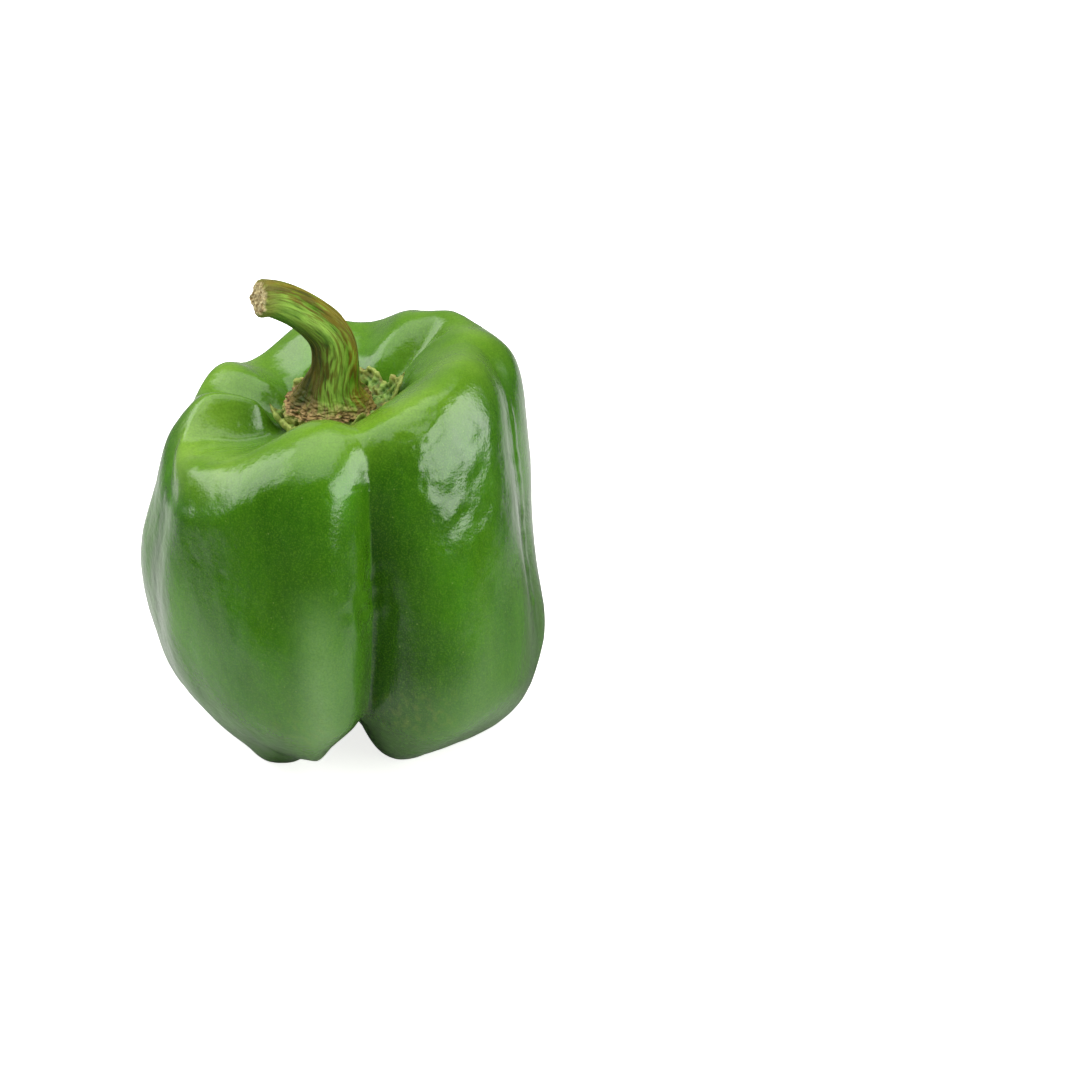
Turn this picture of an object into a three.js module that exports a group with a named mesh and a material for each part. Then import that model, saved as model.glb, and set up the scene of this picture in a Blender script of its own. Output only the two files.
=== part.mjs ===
// A green bell pepper of the blocky kind, standing on its lobes, with its calyx and its cut stem.
// Millimetres, +Z up. The pepper's axis runs up through the seat of the stem; azimuths are in
// degrees, counter-clockwise seen from above, and 270 faces the front.
import * as THREE from 'three';

// Heights of the fruit's rings, from the seat of the stem down to the feet.
const seatHeight = 79;
const topTilt = 0.17;
const seatRadius = 12;
const wallShare = 0.62;
const shoulderDrop = 8;
const sideHeight = 66;
const middleHeight = 44;
const lowerHeight = 22;
const toeHeight = 6;
const underShare = 0.5;
const underHeight = 6;
const hollowHeight = 10;

// Each groove runs from the seat over the crest and down to the foot. azimuth is where it crosses the
// crest, lean what it gains down the side and turn what it gains at the foot, in degrees. soft is the
// width of its bottom, and before and after are the steepness of its two banks; topBefore is that of
// the first bank over the crest, and footSoft, footBefore and footAfter are the same at the foot. The
// rest are depths: wall in the dimple, drop and push of the crest, then at the shoulder, side, middle,
// lower side and toe, and the rise of the foot's tip.
const grooves = [
  {
    azimuth: -74, lean: 0, turn: -9, soft: 0.08, before: 1.8, after: 1.4,
    topBefore: 1.4, footSoft: 0.3, footBefore: 0.8, footAfter: 1.35,
    wall: 2, drop: 2.8, push: 0, shoulder: 4.4, side: 8.5, middle: 12, lower: 13, toe: 12, tip: 12,
  },
  {
    azimuth: 12, lean: -20, turn: 0, soft: 0.14, before: 1.6, after: 1.5,
    topBefore: 1.6, footSoft: 0.2, footBefore: 0.5, footAfter: 1,
    wall: 0, drop: 0.5, push: 0, shoulder: 1.8, side: 2.8, middle: 3, lower: 1.3, toe: -6.8, tip: 2,
  },
  {
    azimuth: 39.5, lean: 11, turn: 0, soft: 0.4, before: 1, after: 1.2,
    topBefore: 1, footSoft: 0.2, footBefore: 1, footAfter: 1,
    wall: 5, drop: -0.6, push: 1, shoulder: 1.5, side: 2, middle: 4, lower: 4, toe: 5, tip: 8,
  },
  {
    azimuth: 79, lean: 3, turn: 0, soft: 0.6, before: 1, after: 1,
    topBefore: 1, footSoft: 0.3, footBefore: 1, footAfter: 1,
    wall: 1.6, drop: 3.6, push: 2, shoulder: 3, side: 3, middle: 2.5, lower: 3, toe: 4, tip: 6,
  },
  {
    azimuth: 126, lean: 0, turn: 0, soft: 0.6, before: 1, after: 1,
    topBefore: 1, footSoft: 0.3, footBefore: 1, footAfter: 1,
    wall: 2.6, drop: 4.4, push: 2, shoulder: 3, side: 3, middle: 3, lower: 3, toe: 4, tip: 6,
  },
  {
    azimuth: 162, lean: 0, turn: 0, soft: 0.6, before: 1, after: 1,
    topBefore: 1, footSoft: 0.3, footBefore: 1, footAfter: 1,
    wall: 3, drop: 3.6, push: 2, shoulder: 2.6, side: 2, middle: 1.5, lower: 2, toe: 3, tip: 5,
  },
  {
    azimuth: 194, lean: 8, turn: 0, soft: 0.8, before: 1, after: 1,
    topBefore: 1, footSoft: 0.3, footBefore: 1, footAfter: 1,
    wall: 3.4, drop: 3.2, push: 2, shoulder: 1, side: 1.3, middle: 1.5, lower: 1, toe: 2, tip: 4,
  },
  {
    azimuth: 238, lean: 4, turn: 0, soft: 0.6, before: 1, after: 1,
    topBefore: 1, footSoft: 0.4, footBefore: 1, footAfter: 1,
    wall: 0, drop: 0, push: 0, shoulder: 0, side: 0, middle: 0, lower: 0.2, toe: 2, tip: -2.2,
  },
];

// Each lobe lies after the groove of the same place in the list. crest is the radius of its top, rise
// its height over the seat and swell how full its inner wall is; then its radii down the side, the
// radius of its toe, and the radius and height of its foot's tip.
const lobes = [
  {
    crest: 29, rise: 11.5, swell: 0.72, shoulder: 36.8, side: 43.4, middle: 47.2, lower: 46.8,
    toe: 30.8, tip: 17, foot: -1.2,
  },
  {
    crest: 33, rise: 11.3, swell: 0.75, shoulder: 42.9, side: 44.9, middle: 45.7, lower: 47.6,
    toe: 35.3, tip: 22.5, foot: -1.2,
  },
  {
    crest: 31.5, rise: 12.3, swell: 0.62, shoulder: 42, side: 45, middle: 46, lower: 43,
    toe: 33, tip: 21, foot: 1,
  },
  {
    crest: 31, rise: 12, swell: 0.65, shoulder: 41, side: 45, middle: 46, lower: 42,
    toe: 31, tip: 21, foot: -1.2,
  },
  {
    crest: 33, rise: 9.8, swell: 0.7, shoulder: 38, side: 42, middle: 44, lower: 41,
    toe: 30, tip: 20, foot: 1.5,
  },
  {
    crest: 28.5, rise: 11, swell: 0.7, shoulder: 36.5, side: 40.8, middle: 45.3, lower: 41,
    toe: 30.2, tip: 20, foot: -0.5,
  },
  {
    crest: 35, rise: 4.2, swell: 0.55, shoulder: 40.5, side: 42.6, middle: 44.8, lower: 40.5,
    toe: 29.2, tip: 20, foot: -2.3,
  },
  {
    crest: 27, rise: 11.5, swell: 0.72, shoulder: 39.5, side: 43.8, middle: 46.2, lower: 42,
    toe: 26.8, tip: 16, foot: 7.8,
  },
];

// How much of a groove's lean and turn, and of the top's tilt, each ring takes.
const leanShares = [0, 0, 0, 0, 0.6, 1, 1, 1, 1, 1, 1, 1];
const turnShares = [0, 0, 0, 0, 0, 0, 0, 0.3, 1, 1, 1, 1];
const tiltShares = [1, 1, 1, 1, 0.8, 0.25, 0, 0, 0, 0, 0, 0];

// The collar of the calyx: each tooth has its azimuth, its reach from the centre and the lift of its rim.
const calyxCentre = new THREE.Vector2(1, 1);
const calyxTeeth = [
  { azimuth: 5, reach: 14.7, lift: 0.7 },
  { azimuth: 60, reach: 14.1, lift: 0.5 },
  { azimuth: 134, reach: 14.5, lift: 2.2 },
  { azimuth: 182, reach: 14.8, lift: 1 },
  { azimuth: 226, reach: 14.4, lift: 0.6 },
  { azimuth: 295, reach: 13.8, lift: 0.6 },
];
const calyxWaist = 1.6;
const calyxThickness = 1.2;
const calyxPad = 1.6;
const clearance = 0.4;

// The stem's centre line and its radius at each point, from the base to the cut end.
const stemLine = [
  new THREE.Vector3(-0.8, 1, 81.4),
  new THREE.Vector3(-0.6, 0.9, 84),
  new THREE.Vector3(-0.2, 0.6, 87.6),
  new THREE.Vector3(0.8, 0.3, 92.5),
  new THREE.Vector3(0.5, -0.4, 98),
  new THREE.Vector3(-1.5, -1.6, 102.9),
  new THREE.Vector3(-6.4, -3.4, 107.7),
  new THREE.Vector3(-11.3, -5.6, 111),
  new THREE.Vector3(-15.2, -7.7, 112.2),
];
const stemRadii = [9.8, 8.8, 6.7, 5.3, 4.8, 4.5, 4.2, 4.0, 4.1];
const stemRidges = 5;
const stemRidgeDepth = 0.06;
const cutHollow = 0.5;

// Fineness of the three surfaces.
const fruitColumns = 88;
const fruitRows = 36;
const calyxColumns = 60;
const stemColumns = 25;
const stemRows = 24;

const smooth = (t) => t * t * (3 - 2 * t);
const mix = (a, b, t) => a + (b - a) * t;
const cyclic = (list, index) => list[((index % list.length) + list.length) % list.length];

// How deep a groove still is at a share of the way from its bottom, 0, to the lobe's middle, 1.
function bank(share, soft, power) {
  const away = (Math.hypot(share, soft) - soft) / (Math.hypot(1, soft) - soft);
  return (1 - Math.sin((Math.PI / 2) * Math.min(away, 1))) ** power;
}

// A value of the lobes at a place across lobe number index, smooth from one lobe's middle to the next.
function lobeValue(key, index, across) {
  const place = index + across - 0.5;
  const first = Math.floor(place);
  return mix(cyclic(lobes, first)[key], cyclic(lobes, first + 1)[key], smooth(place - first));
}

// Which width and steepness the grooves have over the crest, down the side and at the foot.
const overCrest = { soft: 'soft', before: 'topBefore', after: 'after' };
const downSide = { soft: 'soft', before: 'before', after: 'after' };
const atFoot = { soft: 'footSoft', before: 'footBefore', after: 'footAfter' };

// A depth of the two grooves that bound the lobe, at a place across it.
function grooveDepth(key, index, across, banks) {
  const left = cyclic(grooves, index);
  const right = cyclic(grooves, index + 1);
  const after = bank(Math.min(2 * across, 1), left[banks.soft], left[banks.after]);
  const before = bank(Math.min(2 - 2 * across, 1), right[banks.soft], right[banks.before]);
  return left[key] * after + right[key] * before;
}

// Where groove number index lies at a ring; the count goes on past a full turn.
function grooveAzimuth(index, ring) {
  const groove = cyclic(grooves, index);
  const turns = Math.floor(index / grooves.length);
  return groove.azimuth + groove.lean * leanShares[ring] + groove.turn * turnShares[ring] + 360 * turns;
}

// The twelve rings of the fruit at a place across a lobe, each with radius, height and azimuth.
function fruitRings(index, across) {
  const lobe = (key) => lobeValue(key, index, across);
  const topCut = (key) => grooveDepth(key, index, across, overCrest);
  const cut = (key) => grooveDepth(key, index, across, downSide);
  const footCut = (key) => grooveDepth(key, index, across, atFoot);
  const crestRadius = lobe('crest') + topCut('push');
  const crestHeight = seatHeight + lobe('rise') - topCut('drop');
  const wallHeight = seatHeight + lobe('rise') * lobe('swell') - topCut('wall');
  const tipRadius = lobe('tip') - 0.5 * footCut('toe');
  const profile = [
    [0, seatHeight],
    [seatRadius, seatHeight],
    [crestRadius * wallShare, wallHeight],
    [crestRadius, crestHeight],
    [lobe('shoulder') - topCut('shoulder'), crestHeight - shoulderDrop],
    [lobe('side') - cut('side'), sideHeight],
    [lobe('middle') - cut('middle'), middleHeight],
    [lobe('lower') - cut('lower'), lowerHeight],
    [lobe('toe') - footCut('toe'), toeHeight + 0.5 * footCut('tip')],
    [tipRadius, lobe('foot') + footCut('tip')],
    [tipRadius * underShare, underHeight + 0.35 * footCut('tip')],
    [0, hollowHeight],
  ];
  return profile.map(([radius, height], ring) => {
    const azimuth = THREE.MathUtils.degToRad(
      mix(grooveAzimuth(index, ring), grooveAzimuth(index + 1, ring), across),
    );
    const tilted = height + tiltShares[ring] * topTilt * radius * Math.cos(azimuth);
    return { radius, height: tilted, azimuth };
  });
}

// A uniform Catmull-Rom spline through one value of the rings. Past both ends it goes on as the mirror
// image across the axis, so the surface is round there.
function alongRings(rings, key, station) {
  const last = rings.length - 1;
  const side = key === 'radius' ? -1 : 1;
  const at = (i) => {
    if (i < 0) return side * rings[-i][key];
    if (i > last) return side * rings[2 * last - i][key];
    return rings[i][key];
  };
  const start = Math.min(Math.floor(station), last - 1);
  const t = station - start;
  const [a, b, c, d] = [at(start - 1), at(start), at(start + 1), at(start + 2)];
  const bend = (2 * a - 5 * b + 4 * c - d) * t ** 2 + (3 * b - a - 3 * c + d) * t ** 3;
  return 0.5 * (2 * b + (c - a) * t + bend);
}

// A point of the fruit's skin; the feet are flat where they touch the surface below.
function fruitPoint(rings, station) {
  const radius = alongRings(rings, 'radius', station);
  const azimuth = alongRings(rings, 'azimuth', station);
  const height = Math.max(alongRings(rings, 'height', station), 0);
  return new THREE.Vector3(radius * Math.cos(azimuth), radius * Math.sin(azimuth), height);
}

// The height of the dimple's floor and walls over a point near the axis.
function dimpleHeight(x, y) {
  const radius = Math.hypot(x, y);
  const start = grooves[0].azimuth;
  const azimuth = THREE.MathUtils.euclideanModulo(THREE.MathUtils.radToDeg(Math.atan2(y, x)) - start, 360);
  let index = grooves.length - 1;
  while (grooves[index].azimuth - start > azimuth) index -= 1;
  const from = grooveAzimuth(index, 0) - start;
  const to = grooveAzimuth(index + 1, 0) - start;
  const rings = fruitRings(index, (azimuth - from) / (to - from));
  let low = 0;
  let high = 3;
  for (let step = 0; step < 24; step += 1) {
    const middle = (low + high) / 2;
    if (alongRings(rings, 'radius', middle) < radius) low = middle;
    else high = middle;
  }
  return alongRings(rings, 'height', low);
}

// A closed skin over a grid: every row has one point for each column, and the first and the last row
// are drawn together in one point.
function closedSkin(columns, rows, place) {
  const points = [place(0, 0)];
  for (let row = 1; row < rows - 1; row += 1) {
    for (let column = 0; column < columns; column += 1) points.push(place(column, row));
  }
  points.push(place(0, rows - 1));
  const end = points.length - 1;
  const corner = (column, row) => 1 + (row - 1) * columns + (column % columns);
  const faces = [];
  for (let column = 0; column < columns; column += 1) {
    faces.push(0, corner(column, 1), corner(column + 1, 1));
    for (let row = 1; row < rows - 2; row += 1) {
      const [a, b] = [corner(column, row), corner(column + 1, row)];
      const [c, d] = [corner(column + 1, row + 1), corner(column, row + 1)];
      faces.push(a, d, b, b, d, c);
    }
    faces.push(end, corner(column + 1, rows - 2), corner(column, rows - 2));
  }
  const geometry = new THREE.BufferGeometry().setFromPoints(points);
  geometry.setIndex(faces);
  geometry.computeVertexNormals();
  return geometry;
}

// Columns across the lobes, closer together beside the grooves.
function fruitColumnPlaces() {
  const places = [];
  lobes.forEach((lobe, index) => {
    const width = grooveAzimuth(index + 1, 0) - grooveAzimuth(index, 0);
    const count = Math.round((width / 360) * fruitColumns);
    for (let step = 0; step < count; step += 1) {
      const share = step / count;
      places.push({ index, across: share - 0.07 * Math.sin(2 * Math.PI * share) });
    }
  });
  return places;
}

function fruitGeometry() {
  const columns = fruitColumnPlaces().map(({ index, across }) => fruitRings(index, across));
  const lastRing = leanShares.length - 1;
  return closedSkin(columns.length, fruitRows, (column, row) =>
    fruitPoint(columns[column], (row / (fruitRows - 1)) * lastRing),
  );
}

// Reach and lift of the calyx's rim at an azimuth: full at each tooth, drawn in between them.
function calyxRim(azimuth) {
  const start = calyxTeeth[0].azimuth;
  const turned = THREE.MathUtils.euclideanModulo(azimuth - start, 360) + start;
  let index = calyxTeeth.length - 1;
  while (calyxTeeth[index].azimuth > turned) index -= 1;
  const here = calyxTeeth[index];
  const next = cyclic(calyxTeeth, index + 1);
  const span = THREE.MathUtils.euclideanModulo(next.azimuth - here.azimuth, 360);
  const share = (turned - here.azimuth) / span;
  const tooth = Math.abs(1 - 2 * share) ** 1.8;
  return {
    reach: mix(here.reach, next.reach, share) - calyxWaist * (1 - tooth),
    lift: 0.3 + mix(here.lift, next.lift, share) * tooth,
  };
}

// Underside of the calyx over a point: just clear of the dimple.
const calyxUnder = (x, y) => dimpleHeight(x, y) + clearance;

// Top of the calyx: a flat pad under the stem, then a collar that follows the dimple's walls.
function calyxTop(x, y) {
  return Math.max(seatHeight + topTilt * x + clearance + calyxPad, calyxUnder(x, y) + calyxThickness);
}

// Rows of the calyx: share of the reach, and the face, 1 above and 0 below.
const calyxRows = [
  [0, 1], [0.3, 1], [0.55, 1], [0.7, 1], [0.8, 1], [0.88, 1], [0.95, 1], [1, 1],
  [1.02, 0.5], [1, 0], [0.93, 0], [0.82, 0], [0.65, 0], [0.35, 0], [0, 0],
];

function calyxGeometry() {
  return closedSkin(calyxColumns, calyxRows.length, (column, row) => {
    const azimuth = (column / calyxColumns) * 360;
    const angle = THREE.MathUtils.degToRad(azimuth);
    const rim = calyxRim(azimuth);
    const [share, face] = calyxRows[row];
    const x = calyxCentre.x + rim.reach * share * Math.cos(angle);
    const y = calyxCentre.y + rim.reach * share * Math.sin(angle);
    const height = mix(calyxUnder(x, y), calyxTop(x, y), face) + rim.lift * Math.min(share, 1) ** 8;
    return new THREE.Vector3(x, y, height);
  });
}

// The stem: a five-ridged section carried along its line, its base set on the calyx, its end cut across.
function stemGeometry() {
  const line = new THREE.CatmullRomCurve3(stemLine, false, 'catmullrom', 0.5);
  const widths = new THREE.SplineCurve(stemRadii.map((radius, i) => new THREE.Vector2(i, radius)));
  const towardsFront = new THREE.Vector3(0, -1, 0);
  return closedSkin(stemColumns, stemRows + 2, (column, row) => {
    const along = THREE.MathUtils.clamp((stemRows - row) / (stemRows - 1), 0, 1);
    const isPole = row === 0 || row === stemRows + 1;
    const centre = line.getPoint(along);
    const heading = line.getTangent(along);
    const front = towardsFront.clone().addScaledVector(heading, -heading.dot(towardsFront)).normalize();
    const across = new THREE.Vector3().crossVectors(heading, front);
    const angle = (column / stemColumns) * 2 * Math.PI;
    const ridge = 1 + stemRidgeDepth * Math.cos(stemRidges * angle + 0.6);
    const radius = isPole ? 0 : widths.getPoint(along).y * ridge;
    const point = centre
      .addScaledVector(front, radius * Math.cos(angle))
      .addScaledVector(across, radius * Math.sin(angle));
    if (row === 0) point.addScaledVector(heading, -cutHollow);
    if (row >= stemRows) point.z = calyxTop(point.x, point.y) + clearance;
    return point;
  });
}

function piece(name, geometry, color, roughness) {
  const material = new THREE.MeshStandardMaterial({ color, roughness, metalness: 0 });
  const mesh = new THREE.Mesh(geometry, material);
  mesh.name = name;
  return mesh;
}

const pepper = new THREE.Group();
pepper.add(piece('fruit', fruitGeometry(), 0x3d7a20, 0.3));
pepper.add(piece('calyx', calyxGeometry(), 0x7c8a3c, 0.7));
pepper.add(piece('stem', stemGeometry(), 0x76913a, 0.65));

// The origin is under the middle of the whole pepper, on the surface that it stands on.
const extent = new THREE.Box3().setFromObject(pepper);
const middle = extent.getCenter(new THREE.Vector3());
pepper.position.set(-middle.x, -middle.y, -extent.min.z);

export default pepper;
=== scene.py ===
import bpy
import numpy as np
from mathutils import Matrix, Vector


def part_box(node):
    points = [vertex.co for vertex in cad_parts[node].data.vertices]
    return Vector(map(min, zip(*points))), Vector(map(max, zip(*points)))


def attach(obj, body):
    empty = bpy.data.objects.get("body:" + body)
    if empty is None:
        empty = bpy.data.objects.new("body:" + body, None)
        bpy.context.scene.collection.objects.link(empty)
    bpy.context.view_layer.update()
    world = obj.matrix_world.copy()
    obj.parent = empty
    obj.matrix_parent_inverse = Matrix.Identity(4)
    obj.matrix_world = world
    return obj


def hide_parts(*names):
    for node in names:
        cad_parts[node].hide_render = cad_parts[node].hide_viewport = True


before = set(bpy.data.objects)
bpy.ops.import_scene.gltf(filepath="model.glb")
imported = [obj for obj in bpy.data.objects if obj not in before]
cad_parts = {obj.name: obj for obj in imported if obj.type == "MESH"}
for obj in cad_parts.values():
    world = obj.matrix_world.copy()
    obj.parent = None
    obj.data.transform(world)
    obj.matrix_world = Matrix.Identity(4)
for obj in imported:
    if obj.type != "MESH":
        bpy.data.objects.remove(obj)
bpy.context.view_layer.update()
millimetre = 0.001


# sRGB hex to linear light: each channel through the sRGB curve
def linearColour(hexValue):
    channels = np.array([int(hexValue[i:i + 2], 16) for i in (1, 3, 5)]) / 255
    linear = np.where(channels <= 0.04045, channels / 12.92, ((channels + 0.055) / 1.055) ** 2.4)
    return (*linear.tolist(), 1.0)


# Adds one node to a tree: settings are its properties, values its unlinked inputs, links what feeds it
def addNode(tree, kind, settings=None, values=None, links=None):
    node = tree.nodes.new(kind)
    for name, value in (settings or {}).items():
        setattr(node, name, value)
    for name, value in (values or {}).items():
        node.inputs[name].default_value = value
    for name, source in (links or {}).items():
        tree.links.new(source, node.inputs[name])
    return node


# Smooth step: 3t^2 - 2t^3 of how far x is between low and high
def rise(x, low=0.0, high=1.0):
    t = np.clip((x - low) / (high - low), 0, 1)
    return t * t * (3 - 2 * t)


# A smooth random field: the mean of waves in random directions, each about one size long
def ripple(points, size, seed, waves=14):
    draw = np.random.default_rng(seed)
    total = np.zeros(points.shape[:-1])
    for _ in range(waves):
        direction = draw.normal(size=points.shape[-1])
        direction /= np.linalg.norm(direction)
        length = size * draw.uniform(0.7, 1.5)
        total += np.sin(points @ direction * (2 * np.pi / length) + draw.uniform(0, 2 * np.pi))
    return total / np.sqrt(waves / 2)


# Uniform Catmull-Rom spline through the first axis of knots, at the places in stations
def spline(knots, stations):
    knots = np.asarray(knots, float)
    padded = np.concatenate([2 * knots[:1] - knots[1:2], knots, 2 * knots[-1:] - knots[-2:-1]])
    return splinePadded(padded, stations)


# The same where the knots already have one more at each end
def splinePadded(padded, stations):
    start = np.minimum(stations.astype(int), len(padded) - 4)
    t = (stations - start).reshape(-1, *[1] * (padded.ndim - 1))
    a, b, c, d = (padded[start + i] for i in range(4))
    bend = (2 * a - 5 * b + 4 * c - d) * t ** 2 + (3 * b - a - 3 * c + d) * t ** 3
    return 0.5 * (2 * b + (c - a) * t + bend)


# Outward normals of a closed grid: the cross product of its two directions of travel
def gridNormals(grid):
    down = np.gradient(grid, axis=0)
    across = np.roll(grid, -1, 1) - np.roll(grid, 1, 1)
    normals = np.cross(down, across)
    return normals / np.maximum(np.linalg.norm(normals, axis=-1, keepdims=True), 1e-9)


# A closed skin over a grid of rows by columns: the first and the last row are drawn together in one
# point each, quads join the rows, triangles close the poles. Fields become point attributes.
def makeSkin(name, grid, fields=None):
    rows, columns = grid.shape[:2]
    corner = 1 + np.arange((rows - 2) * columns).reshape(rows - 2, columns)
    beside = np.roll(corner, -1, 1)
    last = 1 + (rows - 2) * columns
    quads = np.stack([corner[:-1], corner[1:], beside[1:], beside[:-1]], -1).reshape(-1, 4)
    topFan = np.stack([np.zeros(columns, int), corner[0], beside[0]], -1)
    endFan = np.stack([np.full(columns, last), beside[-1], corner[-1]], -1)
    loops = np.concatenate([topFan.ravel(), quads.ravel(), endFan.ravel()])
    sizes = np.concatenate([np.full(columns, 3), np.full(len(quads), 4), np.full(columns, 3)])
    points = np.concatenate([grid[0, :1], grid[1:-1].reshape(-1, 3), grid[-1, :1]]) * millimetre
    mesh = bpy.data.meshes.new(name)
    mesh.vertices.add(len(points))
    mesh.vertices.foreach_set("co", points.astype(np.float32).ravel())
    mesh.loops.add(len(loops))
    mesh.loops.foreach_set("vertex_index", loops.astype(np.int32))
    mesh.polygons.add(len(sizes))
    mesh.polygons.foreach_set("loop_start", np.concatenate([[0], np.cumsum(sizes)[:-1]]).astype(np.int32))
    mesh.update(calc_edges=True)
    mesh.polygons.foreach_set("use_smooth", np.ones(len(sizes), bool))
    for key, values in (fields or {}).items():
        vector = values.ndim == 3
        attribute = mesh.attributes.new(key, "FLOAT_VECTOR" if vector else "FLOAT", "POINT")
        inner = values[1:-1].reshape(-1, *values.shape[2:])
        flat = np.concatenate([values[0, :1], inner, values[-1, :1]])
        attribute.data.foreach_set("vector" if vector else "value", flat.astype(np.float32).ravel())
    mesh.validate()
    piece = bpy.data.objects.new(name, mesh)
    bpy.context.scene.collection.objects.link(piece)
    return piece


# Fruit, as in the solid: heights and radii of its twelve rings in mm, from the middle of the dimple to the
# middle underneath, then the grooves and the lobes between them. The shares say how far each ring follows
# a groove's lean and turn and the tilt of the top; crowding draws columns towards the grooves.
fruitSettings = {
    "seatHeight": 79, "topTilt": 0.17, "seatRadius": 12, "wallShare": 0.62, "shoulderDrop": 8,
    "sideHeight": 66, "middleHeight": 44, "lowerHeight": 22, "toeHeight": 6,
    "underShare": 0.5, "underHeight": 6, "hollowHeight": 10,
    "tipDraw": 0.5, "toeLift": 0.5, "underLift": 0.35, "crowding": 0.07,
    "leanShares": [0, 0, 0, 0, 0.6, 1, 1, 1, 1, 1, 1, 1],
    "turnShares": [0, 0, 0, 0, 0, 0, 0, 0.3, 1, 1, 1, 1],
    "tiltShares": [1, 1, 1, 1, 0.8, 0.25, 0, 0, 0, 0, 0, 0],
    "columns": 400, "rows": 241, "coarseColumns": 88, "coarseRows": 36,
}
# azimuth, lean and turn in degrees; the near bank's steepness over the crest; soft, before and after,
# then the same at the foot; depths in mm
grooveKeys = ("azimuth lean turn topBefore soft before after footSoft footBefore footAfter "
              "wall drop push shoulder side middle lower toe tip").split()
grooveRows = [
    [-74, 0, -9, 1.4, 0.08, 1.8, 1.4, 0.3, 0.8, 1.35, 2, 2.8, 0, 4.4, 8.5, 12, 13, 12, 12],
    [12, -20, 0, 1.6, 0.14, 1.6, 1.5, 0.2, 0.5, 1, 0, 0.5, 0, 1.8, 2.8, 3, 1.3, -6.8, 2],
    [39.5, 11, 0, 1, 0.4, 1, 1.2, 0.2, 1, 1, 5, -0.6, 1, 1.5, 2, 4, 4, 5, 8],
    [79, 3, 0, 1, 0.6, 1, 1, 0.3, 1, 1, 1.6, 3.6, 2, 3, 3, 2.5, 3, 4, 6],
    [126, 0, 0, 1, 0.6, 1, 1, 0.3, 1, 1, 2.6, 4.4, 2, 3, 3, 3, 3, 4, 6],
    [162, 0, 0, 1, 0.6, 1, 1, 0.3, 1, 1, 3, 3.6, 2, 2.6, 2, 1.5, 2, 3, 5],
    [194, 8, 0, 1, 0.8, 1, 1, 0.3, 1, 1, 3.4, 3.2, 2, 1, 1.3, 1.5, 1, 2, 4],
    [238, 4, 0, 1, 0.6, 1, 1, 0.4, 1, 1, 0, 0, 0, 0, 0, 0, 0.2, 2, -2.2],
]
lobeKeys = "crest rise swell shoulder side middle lower toe tip foot".split()
lobeRows = [
    [29, 11.5, 0.72, 36.8, 43.4, 47.2, 46.8, 30.8, 17, -1.2],
    [33, 11.3, 0.75, 42.9, 44.9, 45.7, 47.6, 35.3, 22.5, -1.2],
    [31.5, 12.3, 0.62, 42, 45, 46, 43, 33, 21, 1],
    [31, 12, 0.65, 41, 45, 46, 42, 31, 21, -1.2],
    [33, 9.8, 0.7, 38, 42, 44, 41, 30, 20, 1.5],
    [28.5, 11, 0.7, 36.5, 40.8, 45.3, 41, 30.2, 20, -0.5],
    [35, 4.2, 0.55, 40.5, 42.6, 44.8, 40.5, 29.2, 20, -2.3],
    [27, 11.5, 0.72, 39.5, 43.8, 46.2, 42, 26.8, 16, 7.8],
]
grooves = {key: np.array([row[i] for row in grooveRows], float) for i, key in enumerate(grooveKeys)}
lobes = {key: np.array([row[i] for row in lobeRows], float) for i, key in enumerate(lobeKeys)}
lobeCount = len(lobeRows)


# How deep a groove still is: one less a quarter sine of the softened distance, to a power
def bank(share, soft, power):
    away = (np.hypot(share, soft) - soft) / (np.hypot(1, soft) - soft)
    return (1 - np.sin(np.pi / 2 * np.clip(away, 0, 1))) ** power


# Azimuth of groove number index at a ring, in degrees, going on past a full turn
def grooveAzimuth(index, ring):
    own = index % lobeCount
    lean = grooves["lean"][own] * fruitSettings["leanShares"][ring]
    turn = grooves["turn"][own] * fruitSettings["turnShares"][ring]
    return grooves["azimuth"][own] + lean + turn + 360 * (index // lobeCount)


# Columns of the fruit: lobe number and place across it, closer together beside the grooves
def fruitColumns(total):
    indices, places = [], []
    for index in range(lobeCount):
        width = grooveAzimuth(index + 1, 0) - grooveAzimuth(index, 0)
        count = round(width / 360 * total)
        share = np.arange(count) / count
        indices.append(np.full(count, index))
        places.append(share - fruitSettings["crowding"] * np.sin(2 * np.pi * share))
    return np.concatenate(indices), np.concatenate(places)


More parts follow.
